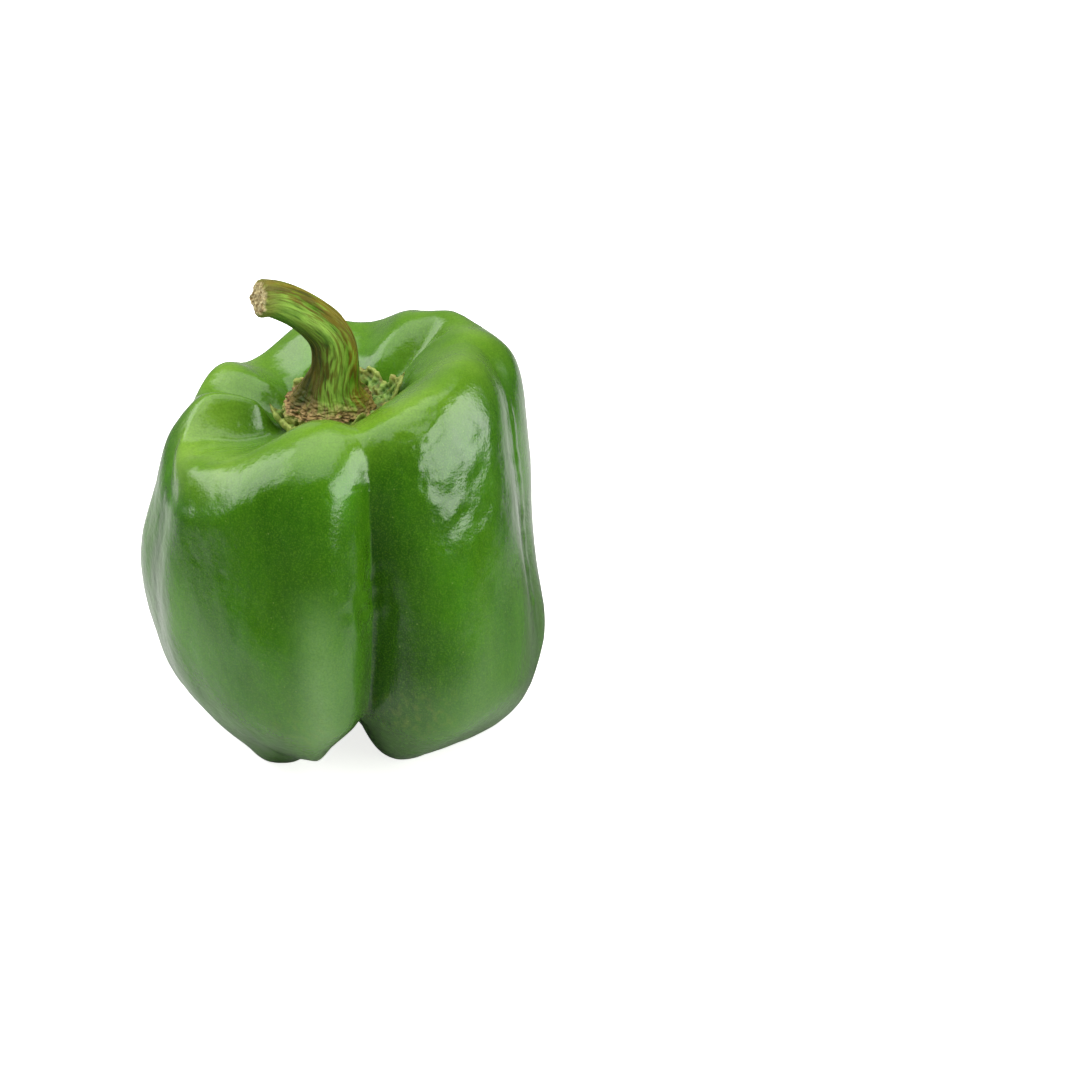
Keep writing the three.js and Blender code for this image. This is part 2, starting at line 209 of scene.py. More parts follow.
# The twelve rings at each column: lobe values are mixed by smooth step from one lobe's middle to the
# next, and the two grooves beside each column are cut in by their banks
def fruitRings(index, across):
    s = fruitSettings
    place = index + across - 0.5
    first = np.floor(place).astype(int)
    share = rise(place - first)
    lobe = {k: v[first % lobeCount] * (1 - share) + v[(first + 1) % lobeCount] * share
            for k, v in lobes.items()}
    left, right = index % lobeCount, (index + 1) % lobeCount
    fromLeft, fromRight = np.minimum(2 * across, 1), np.minimum(2 - 2 * across, 1)

    def cut(key, soft="soft", before="before", after="after"):
        onLeft = grooves[key][left] * bank(fromLeft, grooves[soft][left], grooves[after][left])
        onRight = grooves[key][right] * bank(fromRight, grooves[soft][right], grooves[before][right])
        return onLeft + onRight

    topCut = {k: cut(k, before="topBefore") for k in ("wall", "drop", "push", "shoulder")}
    footCut = {k: cut(k, "footSoft", "footBefore", "footAfter") for k in ("toe", "tip")}
    same = np.ones(len(index))
    crestRadius = lobe["crest"] + topCut["push"]
    crestHeight = s["seatHeight"] + lobe["rise"] - topCut["drop"]
    wallHeight = s["seatHeight"] + lobe["rise"] * lobe["swell"] - topCut["wall"]
    tipRadius = lobe["tip"] - s["tipDraw"] * footCut["toe"]
    radius = np.array([
        0 * same, s["seatRadius"] * same, crestRadius * s["wallShare"], crestRadius,
        lobe["shoulder"] - topCut["shoulder"], lobe["side"] - cut("side"), lobe["middle"] - cut("middle"),
        lobe["lower"] - cut("lower"), lobe["toe"] - footCut["toe"], tipRadius,
        tipRadius * s["underShare"], 0 * same])
    height = np.array([
        s["seatHeight"] * same, s["seatHeight"] * same, wallHeight, crestHeight,
        crestHeight - s["shoulderDrop"], s["sideHeight"] * same, s["middleHeight"] * same,
        s["lowerHeight"] * same, s["toeHeight"] + s["toeLift"] * footCut["tip"],
        lobe["foot"] + footCut["tip"], s["underHeight"] + s["underLift"] * footCut["tip"],
        s["hollowHeight"] * same])
    azimuth = np.radians([
        grooveAzimuth(index, ring) * (1 - across) + grooveAzimuth(index + 1, ring) * across
        for ring in range(len(radius))])
    height = height + np.array(s["tiltShares"])[:, None] * s["topTilt"] * radius * np.cos(azimuth)
    return radius, height, azimuth


# The skin: a spline through the rings in radius, height and azimuth, mirrored past both poles
def fruitGrid(columns, rows):
    index, across = fruitColumns(columns)
    radius, height, azimuth = fruitRings(index, across)
    stations = np.linspace(0, len(radius) - 1, rows)
    along = {}
    for key, knots, side in (("r", radius, -1), ("z", height, 1), ("a", azimuth, 1)):
        along[key] = splinePadded(np.concatenate([side * knots[1:2], knots, side * knots[-2:-1]]), stations)
    grid = np.stack([along["r"] * np.cos(along["a"]), along["r"] * np.sin(along["a"]),
                     np.maximum(along["z"], 0)], -1)
    return grid, index, across, stations


coarse = fruitGrid(fruitSettings["coarseColumns"], fruitSettings["coarseRows"])[0]
nodeLow = np.array(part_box("fruit")[0])
shift = nodeLow / millimetre - coarse.reshape(-1, 3).min(0)   # the solid's origin is under its middle
print("shift of the pepper's axis from the origin, mm:", shift.round(3))


# Fine form and fields of colour on the skin. Each place is an azimuth in degrees and a height in mm in the
# solid's frame; widths, sizes, heights and depths are in mm.
reliefSettings = {
    "dents": [(19, 0.16), (7, 0.03), (3.2, 0.018)],   # size and depth, all over
    "dentStretch": (1, 1, 0.6),
    "ridge": {"azimuth": -92, "width": 5, "low": 38, "high": 74, "height": 0.5},
    "nicks": [(-132, 61, 1.1), (-121, 60, 1.2), (-83, 46, 0.8)],   # place and width
    "nickDepth": 0.22, "nickSquash": 0.6,
    # raised line beside a groove: lobe, distance from its groove, width, height, lowest and highest place
    "rims": [(1, 1.3, 0.8, 0.42, 30, 84)],
    "rimWave": (0.3, 5),   # share of the rim's height, and size
    # dappled patches: place, width, then size and depth of the dents in them
    "dapples": [(-54, 79, 13, 2.6, 0.05), (-50, 76, 15, 5.5, 0.08),
                (-77, 52, 6, 5.5, 0.24), (-92, 56, 8, 6, 0.12)],
    "dappleStretch": 1.3,
    # scar underneath: stations between which the pleats run out, radius, height
    "blossomScar": (9.6, 10.6, 2.6, 0.4),
    "scars": [(-62, 24, 8), (-98, 22, 7)],   # place and width of the rusty patches
    "paintedSheenPatches": [(-40, 16, 22, 0.6)],   # place, width and strength of painted sheen, a pale reflection low on the side
    "paintedSheenTop": (46, 64),   # heights between which the painted sheen on the ridge ends
    "paintedRearShade": (70, 32, 0.45),   # azimuth and width of the back crests made less pale as painted shade, and how much less
    # painted shade in the grooves: how dark each groove is painted, the share of a lobe that it darkens, and
    # that share on the right and on the left of the deep front groove
    "paintedGrooveShade": [1, 0.15, 0.5, 0.5, 0.5, 0.5, 0.5, 0],
    "grooveReach": 0.16, "rightReach": 0.42, "leftReach": 0.02,
}


# The skin: the solid's surface on a finer grid, each point moved along its normal by the sum of the dents,
# the ridge, the nicks, the rims, the dapples and the scar. A spot is exp(-(distance / width)^2).
def makeFruit():
    grid, index, across, stations = fruitGrid(fruitSettings["columns"], fruitSettings["rows"])
    normals = gridNormals(grid)
    station = np.broadcast_to(stations[:, None], grid.shape[:2])
    azimuth = np.degrees(np.arctan2(grid[..., 1], grid[..., 0]))
    height = grid[..., 2]
    outside = rise(station, 2.5, 3.5)

    # arc length round the pepper from one azimuth, and the distance to a spot on its side, in mm
    def around(place):
        return np.radians(np.mod(azimuth - place + 180, 360) - 180) * np.hypot(grid[..., 0], grid[..., 1])

    def spot(place, level, width, squash=1.0):
        away = np.hypot(around(place), (height - level) / squash) / width
        return np.exp(-away ** 2) * outside

    s = reliefSettings
    relief = sum(depth * ripple(grid * s["dentStretch"], size, seed)
                 for seed, (size, depth) in enumerate(s["dents"]))
    relief = relief * rise(station, 0.8, 2.2) * (1 - rise(station, 8.2, 9))
    ridge = s["ridge"]
    band = np.exp(-(around(ridge["azimuth"]) / ridge["width"]) ** 2) * outside
    bent = band * rise(height, ridge["low"] - 8, ridge["low"] + 8)
    bent = bent * (1 - rise(height, ridge["high"] - 6, ridge["high"] + 4))
    relief = relief + ridge["height"] * bent
    for place, level, width in s["nicks"]:
        relief = relief - s["nickDepth"] * spot(place, level, width, s["nickSquash"])
    waveShare, waveSize = s["rimWave"]
    for seed, (lobe, away, width, tall, low, high) in enumerate(s["rims"]):
        turn = np.radians(grooveAzimuth(lobe + 1, 5) - grooveAzimuth(lobe, 5))
        beyond = turn * across * np.hypot(grid[..., 0], grid[..., 1])
        line = np.exp(-((beyond - away) / width) ** 2) * (index == lobe) * outside
        line = line * rise(height, low - 6, low + 6) * (1 - rise(height, high - 6, high + 3))
        relief = relief + tall * line * (1 + waveShare * ripple(grid, waveSize, 60 + seed))
    for seed, (place, level, width, size, depth) in enumerate(s["dapples"]):
        patch = spot(place, level, width, s["dappleStretch"])
        relief = relief + depth * ripple(grid, size, 50 + seed) * patch
    # the pleats under the pepper run out into a small raised scar
    low, high, scarRadius, scarHeight = s["blossomScar"]
    plain = rise(station, low, high)
    level = grid[..., 2].mean(1, keepdims=True) * plain + grid[..., 2] * (1 - plain)
    grid = np.concatenate([grid[..., :2], level[..., None]], -1)
    fromAxis = np.hypot(grid[..., 0], grid[..., 1]) + 0.4 * ripple(grid, 1.5, 70)
    blossom = (1 - rise(fromAxis, scarRadius * 0.75, scarRadius)) * plain
    relief = relief + scarHeight * blossom * (1 + 0.4 * ripple(grid, 0.9, 71))
    grid = grid + normals * relief[..., None]
    # painted shade: the back crests are made less pale, as less light falls on them
    rearPlace, rearWidth, rearLoss = s["paintedRearShade"]
    paintedRearShading = 1 - rearLoss * np.exp(-(around(rearPlace) / rearWidth) ** 2)
    # painted sheen: pale patches standing for the floor's reflection low on the side
    paintedSheenPatch = sum(strength * spot(place, level, width) for place, level, width, strength in s["paintedSheenPatches"])
    scars = sum(spot(place, level, width) for place, level, width in s["scars"])
    # painted shade beside the grooves: nearness to a groove, how dark that groove is painted and how far its
    # shade reaches
    nearGroove = np.minimum(across, 1 - across)[None] + 0 * station
    weight = np.array(s["paintedGrooveShade"])[(index + (across > 0.5)) % lobeCount]
    reach = np.where((index == 0) & (across < 0.5), s["rightReach"], s["grooveReach"])
    reach = np.where((index == lobeCount - 1) & (across > 0.5), s["leftReach"], reach)
    fields = {
        "painted_groove_shade": (1 - rise(nearGroove, 0.0, reach)) * rise(station, 3, 5.4) * weight,
        # the crests are paler: partly the skin's own tone, partly painted top light
        "shoulder": (1 - rise(station, 2.9, 4.2)) * (0.35 + 0.65 * rise(station, 1.6, 2.9)) * paintedRearShading,
        "scar": scars,
        # painted sheen: the ridge's band up to its top, and the pale patches
        "painted_sheen": band * (1 - rise(height, *s["paintedSheenTop"])) + paintedSheenPatch,
        "blossom": blossom,
    }
    return makeSkin("pepper_skin", grid + shift, fields)


# Calyx, in mm: teeth as azimuth, reach from the centre and lift of the rim. Shares run from 0 at the
# centre to 1 at the rim.
calyxSettings = {
    "centre": (1, 1), "waist": 1.6, "thickness": 1.2, "pad": 1.6, "clearance": 0.4,
    "teeth": [(5, 14.7, 0.7), (60, 14.1, 0.5), (134, 14.5, 2.2), (182, 14.8, 1.0), (226, 14.4, 0.6),
              (295, 13.8, 0.6)],
    "crinkle": (4.5, 0.35),   # size and depth of the wavy edge
    "curl": (0.76, 0.97, 1.2, 0.4),   # shares between which the rim stands up, its height, its unevenness
    "trough": (0.78, 0.1, 0.55),   # share, width as a share, depth
    "lumps": [(2.2, 0.24), (1.0, 0.14)], "lumpStart": (0.5, 0.66),
    "columns": 300, "topRows": 70,
}


# Height of the dimple over points: each point's column is found by its azimuth, and halving steps
# find the station where the spline through its rings has the point's radius
def dimpleHeight(x, y):
    shape = x.shape
    x, y = x.ravel(), y.ravel()
    start = grooves["azimuth"][0]
    azimuth = np.mod(np.degrees(np.arctan2(y, x)) - start, 360)
    index = np.searchsorted(grooves["azimuth"] - start, azimuth, side="right") - 1
    low, high = grooveAzimuth(index, 0) - start, grooveAzimuth(index + 1, 0) - start
    radius, height, _ = fruitRings(index, (azimuth - low) / (high - low))
    columns = np.arange(len(x))

    def at(knots, side, station):
        padded = np.concatenate([side * knots[1:2], knots])
        first = np.minimum(station.astype(int), 3)
        t = station - first
        a, b, c, d = (padded[first + i, columns] for i in range(4))
        bend = (2 * a - 5 * b + 4 * c - d) * t ** 2 + (3 * b - a - 3 * c + d) * t ** 3
        return 0.5 * (2 * b + (c - a) * t + bend)

    lowest, highest = np.zeros(len(x)), np.full(len(x), 3.0)
    wanted = np.hypot(x, y)
    for _ in range(24):
        middle = (lowest + highest) / 2
        inside = at(radius, -1, middle) < wanted
        lowest, highest = np.where(inside, middle, lowest), np.where(inside, highest, middle)
    return at(height, 1, lowest).reshape(shape)


# Rim of the calyx at azimuths: reach and lift mixed from tooth to tooth, drawn in between them
def calyxRim(azimuth):
    teeth = np.array(calyxSettings["teeth"] + [calyxSettings["teeth"][0]], float)
    teeth[-1, 0] += 360
    turned = np.mod(azimuth - teeth[0, 0], 360) + teeth[0, 0]
    index = np.clip(np.searchsorted(teeth[:, 0], turned, side="right") - 1, 0, len(teeth) - 2)
    share = (turned - teeth[index, 0]) / (teeth[index + 1, 0] - teeth[index, 0])
    tooth = np.abs(1 - 2 * share) ** 1.8
    reach = teeth[index, 1] * (1 - share) + teeth[index + 1, 1] * share
    lift = teeth[index, 2] * (1 - share) + teeth[index + 1, 2] * share
    return reach - calyxSettings["waist"] * (1 - tooth), 0.3 + lift * tooth, tooth


# Undersides and tops of the collar: the dimple plus the clearance, then a thickness or the level pad
def calyxUnder(x, y):
    return dimpleHeight(x, y) + calyxSettings["clearance"]


def calyxTop(x, y):
    s = calyxSettings
    pad = fruitSettings["seatHeight"] + fruitSettings["topTilt"] * x + s["clearance"] + s["pad"]
    return np.maximum(pad, calyxUnder(x, y) + s["thickness"])


# The collar: a closed sheet, out over the top, round the rim and back underneath. Its height is the
# dimple's plus the thickness and pad, less a trough, plus a curl at the crinkled rim, and its top is pitted.
def makeCalyx():
    s = calyxSettings
    top = np.linspace(0, 1, s["topRows"])
    share = np.concatenate([top, [1.015, 1.02, 1.015], top[::-1]])[:, None]
    face = np.concatenate([np.ones(len(top)), [0.8, 0.5, 0.2], np.zeros(len(top))])[:, None]
    azimuth = (np.arange(s["columns"]) * 360 / s["columns"])[None]
    angle = np.radians(azimuth)
    reach, lift, tooth = calyxRim(azimuth)
    crinkleSize, crinkleDepth = s["crinkle"]
    crinkle = ripple(np.stack([np.cos(angle), np.sin(angle)], -1) * 12, crinkleSize, 21)
    reach = reach + crinkleDepth * crinkle
    x = s["centre"][0] + reach * share * np.cos(angle)
    y = s["centre"][1] + reach * share * np.sin(angle)
    under, over = calyxUnder(x, y), calyxTop(x, y)
    curlStart, curlEnd, curlHeight, curlWave = s["curl"]
    curl = rise(share, curlStart, curlEnd) * (curlHeight + curlWave * crinkle)
    height = under * (1 - face) + over * face + lift * np.minimum(share, 1) ** 6 + curl
    troughShare, troughWidth, troughDepth = s["trough"]
    trough = np.exp(-((share - troughShare) / troughWidth) ** 2) * face
    height = height - troughDepth * trough
    grid = np.stack([x, y, height], -1)
    normals = gridNormals(grid)
    rough = rise(share, *s["lumpStart"]) * face
    (wideSize, wideDepth), (fineSize, fineDepth) = s["lumps"]
    lumps = wideDepth * ripple(grid * [1, 1, 0.5], wideSize, 11) + fineDepth * ripple(grid, fineSize, 12)
    grid = grid + normals * (lumps * rough)[..., None]
    fields = {
        "rim": rise(share, 0.9, 1.0) + 0 * height,
        "pit": lumps * rough,
    }
    return makeSkin("pepper_calyx", grid + shift, fields)


# Stem: centre line and radius from the base to the cut end, in mm; ridges as count, depth and phase.
# Stations count the knots of the line, from 0 at the base to 8 at the cut.
stemSettings = {
    "line": [(-0.8, 1, 81.4), (-0.6, 0.9, 84), (-0.2, 0.6, 87.6), (0.8, 0.3, 92.5), (0.5, -0.4, 98),
             (-1.5, -1.6, 102.9), (-6.4, -3.4, 107.7), (-11.3, -5.6, 111), (-15.2, -7.7, 112.2)],
    "radii": [9.8, 8.8, 6.7, 5.3, 4.8, 4.5, 4.2, 4.0, 3.9],
    "ridges": [(5, 0.05, 0.6), (3, 0.03, 2.1), (11, 0.007, 1.0)],
    "corkRing": (1.0, 0.55, 0.7),   # station, height and width of the ring
    "corkGrains": [(1.3, 0.3), (0.7, 0.2)],   # size and height
    "beads": (19, 0.5),   # how many round the base, and their height
    "flare": 0.25, "lip": 1.1,   # widening before the cut, rounding of its edge
    "columns": 240, "rows": 260, "capRows": 16,
}


# The stalk: a ring carried along the line. Its reach is the radius x (1 + ridges) + cork ring + grains +
# beads + flare - lip; its base is set on the calyx and its end cut across. The fields give the station, how
# far a point faces the front or the outer side, and wavy coordinates for the fibres.
def makeStem():
    s = stemSettings
    stations = np.linspace(len(s["line"]) - 1, 0, s["rows"])
    line = spline(s["line"], stations)
    width = spline(np.array(s["radii"])[:, None], stations)
    heading = -np.gradient(line, axis=0)
    heading /= np.linalg.norm(heading, axis=1, keepdims=True)
    front = np.array([0, -1.0, 0]) - (heading @ [0, -1.0, 0])[:, None] * heading
    front /= np.linalg.norm(front, axis=1, keepdims=True)
    side = np.cross(heading, front)
    angle = np.arange(s["columns"]) * 2 * np.pi / s["columns"]
    around = np.stack([np.cos(angle), np.sin(angle)], -1)
    ringPoints = np.concatenate([
        np.broadcast_to(around * 4.5, (len(stations), len(angle), 2)),
        np.broadcast_to(stations[:, None, None] * 5, (len(stations), len(angle), 1))], -1)
    ridge = 1 + sum(depth * np.cos(count * angle + phase) for count, depth, phase in s["ridges"])
    ridge = ridge + 0.02 * ripple(ringPoints * [1, 1, 0.12], 1.8, 31) + 0.02 * ripple(ringPoints, 8, 37)
    middle, bulge, breadth = s["corkRing"]
    ring = bulge * np.exp(-((stations - middle) / breadth) ** 2)[:, None]
    cork = np.exp(-((stations - middle + 0.2) / 0.8) ** 2)[:, None]
    (wideSize, wideHeight), (fineSize, fineHeight) = s["corkGrains"]
    grains = wideHeight * ripple(ringPoints, wideSize, 32) + fineHeight * ripple(ringPoints, fineSize, 33)
    beadCount, beadHeight = s["beads"]
    beads = beadHeight * np.cos(beadCount * angle + ripple(ringPoints, 5, 34)) ** 2
    beads = beads * np.exp(-((stations - 0.15) / 0.25) ** 2)[:, None]
    flare = s["flare"] * rise(stations, 7.2, 7.75)[:, None]
    lip = rise(stations, 7.65, 8)[:, None] ** 2 * (s["lip"] + 0.35 * ripple(ringPoints, 1.6, 38))
    reach = width * ridge + ring + cork * grains + beads + flare - lip
    outward = around[None, :, :1] * front[:, None] + around[None, :, 1:] * side[:, None]
    tube = line[:, None] + outward * reach[..., None]
    tube[-1, :, 2] = calyxTop(tube[-1, :, 0], tube[-1, :, 1])
    shares = np.linspace(0, 1, s["capRows"], endpoint=False)[:, None, None]
    endCap = line[0] + (tube[0] - line[0]) * shares
    fibre = ripple(endCap, 1.0, 35) * 0.16 + ripple(endCap, 2.4, 36) * 0.2
    endCap = endCap + heading[0] * ((fibre - 0.35) * (1 - shares[..., 0] ** 6))[..., None]
    baseCap = tube[-1].mean(0) + (tube[-1] - tube[-1].mean(0)) * shares[::-1]
    grid = np.concatenate([endCap, tube, baseCap])
    cap, seat = np.full(s["capRows"], 8.2), np.full(s["capRows"], -0.2)
    along = np.concatenate([cap, stations, seat])[:, None] + 0 * angle
    flat = np.concatenate([np.broadcast_to(around * 4.5, (*along.shape, 2)), along[..., None] * 5], -1)
    turned = angle + 0.16 * ripple(flat * [1, 1, 0.6], 9, 39)
    grain = np.stack([4.5 * np.cos(turned), 4.5 * np.sin(turned), along * 5], -1)
    fields = {
        "along": along,
        "front": np.cos(angle)[None] + 0 * along,
        "side": np.sin(angle)[None] + 0 * along,
        "grain": grain,
    }
    return makeSkin("pepper_stem", grid + shift, fields)


# Starts a material with its Principled shader, its tree and its object coordinates
def startMaterial(name):
    material = bpy.data.materials.new(name)
    material.use_nodes = True
    tree = material.node_tree
    place = addNode(tree, "ShaderNodeTexCoord").outputs["Object"]
    return material, tree, tree.nodes["Principled BSDF"], place


# A point attribute of the mesh, as a number or as a vector
def field(tree, name, output="Fac"):
    return addNode(tree, "ShaderNodeAttribute", {"attribute_name": name}).outputs[output]


# A colour between two, by a factor: either colour is a hex value or what another node gives
def blend(tree, factor, low, high):
    mix = addNode(tree, "ShaderNodeMix", {"data_type": "RGBA"})
    for socket, value in ((mix.inputs[6], low), (mix.inputs[7], high)):
        if isinstance(value, str):
            socket.default_value = linearColour(value)
        else:
            tree.links.new(value, socket)
    if isinstance(factor, (int, float)):
        mix.inputs[0].default_value = factor
    else:
        tree.links.new(factor, mix.inputs[0])
    return mix.outputs[2]


# Noise with features of a size in mm; stretch scales the coordinates on each axis first
def noise(tree, place, size, detail=2.0, stretch=None, unit=1.0):
    if stretch:
        place = addNode(tree, "ShaderNodeMapping", {}, {"Scale": stretch}, {"Vector": place}).outputs[0]
    values = {"Scale": unit / (size * millimetre), "Detail": detail}
    return addNode(tree, "ShaderNodeTexNoise", {}, values, {"Vector": place}).outputs["Fac"]


# A value taken from one range to another and held at its ends
def spread(tree, value, low, high, start=0.0, end=1.0):
    ends = {"From Min": low, "From Max": high, "To Min": start, "To Max": end}
    return addNode(tree, "ShaderNodeMapRange", {}, ends, {"Value": value}).outputs["Result"]


# One sum, product or other step between two values, either of which may be a plain number
def calculate(tree, operation, first, second=0.0):
    node = addNode(tree, "ShaderNodeMath", {"operation": operation})
    for socket, value in zip(node.inputs, (first, second)):
        if isinstance(value, (int, float)):
            socket.default_value = value
        else:
            tree.links.new(value, socket)
    return node.outputs[0]


# A bump of a depth in mm, laid over an earlier one if given
def bump(tree, height, depth, strength=1.0, under=None):
    links = {"Height": height}
    if under:
        links["Normal"] = under
    values = {"Strength": strength, "Distance": depth * millimetre}
    return addNode(tree, "ShaderNodeBump", {}, values, links).outputs["Normal"]


# Colours of the skin, and how strongly each is laid over the ones before it. The groove colour is painted
# shade in the grooves, the sheen colour a painted pale reflection, and the shoulder pair partly painted top
# light
skinFinish = {
    "side": ("#214f02", "#3f7c0c"), "strips": ("#4c7c10", 0.4), "patches": ("#29550f", 0.55),
    "painted_sheen": ("#6d9455", 0.75), "shoulder": ("#5e8a1a", "#80a636"), "shoulderToneAndLightShare": 0.85,
    "painted_groove_shade": ("#0f3009", 0.85), "streaks": ("#4f8a0c", 0.16), "grains": ("#1f4a05", 0.24),
    "stipple": ("#7fae30", 0.14), "blossomScar": ("#6b5b34", "#b3a06a"), "rust": ("#7f8a3a", 0.24),
    "pores": ("#a3b96a", 0.2), "poreSpacing": 2.4, "peelSize": 1.5,
    "roughness": (0.14, 0.23), "waxShare": 0.25, "waxRoughness": 0.13,
}


# Fruit skin, grown under its own wax: broad soft sheen from the dimpled skin and small crisp glints from the
# wax over it. Its colour also holds painted light: crests paler and yellower, partly their own tone and
# partly painted top light, and less so on the back as painted shade; painted shade in the grooves; a painted
# pale sheen on the ridge and low on the side. It has pale pores and faint rusty patches. Stipple and grains
# are a third to half a millimetre wide, coarser than real ones, so that they show in the render.
def waxySkin():
    s = skinFinish
    material, tree, shader, place = startMaterial("waxy_green_skin")

    def over(colour, name, factor):
        tint, strength = s[name]
        return blend(tree, calculate(tree, "MULTIPLY", factor, strength), colour, tint)

    clouds = spread(tree, noise(tree, place, 16, 3.0, (1, 1, 0.6)), 0.35, 0.68)
    patches = spread(tree, noise(tree, place, 34, 2.0), 0.4, 0.62)
    streaks = spread(tree, noise(tree, place, 1.6, 3.0, (1, 1, 0.16)), 0.3, 0.75)
    grains = spread(tree, noise(tree, place, 0.45, 1.0), 0.35, 0.7)
    strips = spread(tree, noise(tree, place, 7, 3.0, (1, 1, 0.22)), 0.36, 0.66)
    stipple = spread(tree, noise(tree, place, 0.35, 2.0), 0.48, 0.66)
    side = blend(tree, clouds, *s["side"])
    side = over(side, "strips", strips)
    side = over(side, "patches", patches)
    # painted sheen: pale reflection laid on the ridge and low on the side
    side = over(side, "painted_sheen", field(tree, "painted_sheen"))
    # paler crests: partly own tone, partly painted top light
    shoulderToneAndLightShare = calculate(tree, "MULTIPLY", field(tree, "shoulder"), s["shoulderToneAndLightShare"])
    colour = blend(tree, shoulderToneAndLightShare, side, blend(tree, clouds, *s["shoulder"]))
    # painted shade laid into the grooves
    colour = over(colour, "painted_groove_shade", field(tree, "painted_groove_shade"))
    colour = over(colour, "streaks", streaks)
    colour = over(colour, "grains", grains)
    colour = over(colour, "stipple", stipple)
    cork = blend(tree, spread(tree, noise(tree, place, 0.8, 4.0), 0.35, 0.65), *s["blossomScar"])
    colour = blend(tree, field(tree, "blossom"), colour, cork)
    broken = spread(tree, noise(tree, place, 1.8, 4.0), 0.48, 0.7)
    colour = over(colour, "rust", calculate(tree, "MULTIPLY", field(tree, "scar"), broken))
    # two cells in five have a pale pore at their middle
    scale = 1 / (s["poreSpacing"] * millimetre)
    pores = addNode(tree, "ShaderNodeTexVoronoi", {}, {"Scale": scale}, {"Vector": place})
    speck = spread(tree, pores.outputs["Distance"], 0.05, 0.1, 1.0, 0.0)
    cell = addNode(tree, "ShaderNodeSeparateColor", {}, {}, {"Color": pores.outputs["Color"]}).outputs[0]
    chosen = spread(tree, cell, 0.55, 0.6)
    colour = over(colour, "pores", calculate(tree, "MULTIPLY", speck, chosen))
    tree.links.new(colour, shader.inputs["Base Color"])
    roughness = spread(tree, noise(tree, place, 6, 3.0), 0.3, 0.7, *s["roughness"])
    tree.links.new(roughness, shader.inputs["Roughness"])
    # the orange peel: rounded cells, then finer noise over them
    scale = 1 / (s["peelSize"] * millimetre)
    cells = addNode(tree, "ShaderNodeTexVoronoi", {"feature": "SMOOTH_F1"},
                    {"Scale": scale, "Smoothness": 0.4}, {"Vector": place})
    peel = bump(tree, cells.outputs["Distance"], 0.12, 0.35)
    peel = bump(tree, noise(tree, place, 0.55, 3.0), 0.1, 0.5, peel)
    tree.links.new(peel, shader.inputs["Normal"])
    tree.links.new(peel, shader.inputs["Coat Normal"])
    shader.inputs["IOR"].default_value = 1.45
    shader.inputs["Coat Weight"].default_value = s["waxShare"]
    shader.inputs["Coat Roughness"].default_value = s["waxRoughness"]
    shader.inputs["Coat IOR"].default_value = 1.4
    return material


# Colours of the calyx, from its pits to its raised parts, then what is laid over them and how strongly
leafFinish = {
    "flesh": ("#35590f", "#7fa045"), "rim": ("#a3a955", 0.6), "flecks": ("#6e4c1c", 0.5), "roughness": 0.6,
}


# Calyx, dried leaf: green in its pits, yellowish where it is raised and along the rim, with brown papery
# patches there
def calyxLeaf():
    s = leafFinish
    material, tree, shader, place = startMaterial("dry_calyx_leaf")
    raised = spread(tree, field(tree, "pit"), -0.35, 0.35)
    flecks = spread(tree, noise(tree, place, 2.4, 4.0), 0.52, 0.66)
    colour = blend(tree, raised, *s["flesh"])
    for name, factor in (("rim", field(tree, "rim")), ("flecks", flecks)):
        tint, strength = s[name]
        colour = blend(tree, calculate(tree, "MULTIPLY", factor, strength), colour, tint)
    tree.links.new(colour, shader.inputs["Base Color"])
    tree.links.new(bump(tree, noise(tree, place, 0.5, 4.0), 0.25, 0.7), shader.inputs["Normal"])
    shader.inputs["Roughness"].default_value = s["roughness"]
    return material


# Colours of the stem: pairs run from the dark to the light threads of each part
stalkFinish = {
    # front is a painted sheen: a pale band along the side of the stalk that faces the front
    "fibre": ("#3a6a02", "#76a01c"), "front": "#94b94e", "innerGreen": "#3a6808", "threads": "#34500b",
    "outerBrown": ("#3d3b05", "#73600f"), "innerBrown": ("#2b2b04", "#5d4f10"), "nearCut": "#6f6a2a",
    "cork": ("#553c16", "#c0a06c"), "base": ("#6a7a2c", "#a2ad5c"), "pith": ("#7a6438", "#d6c996"),
    "roughness": 0.55, "specular": 0.3,
}
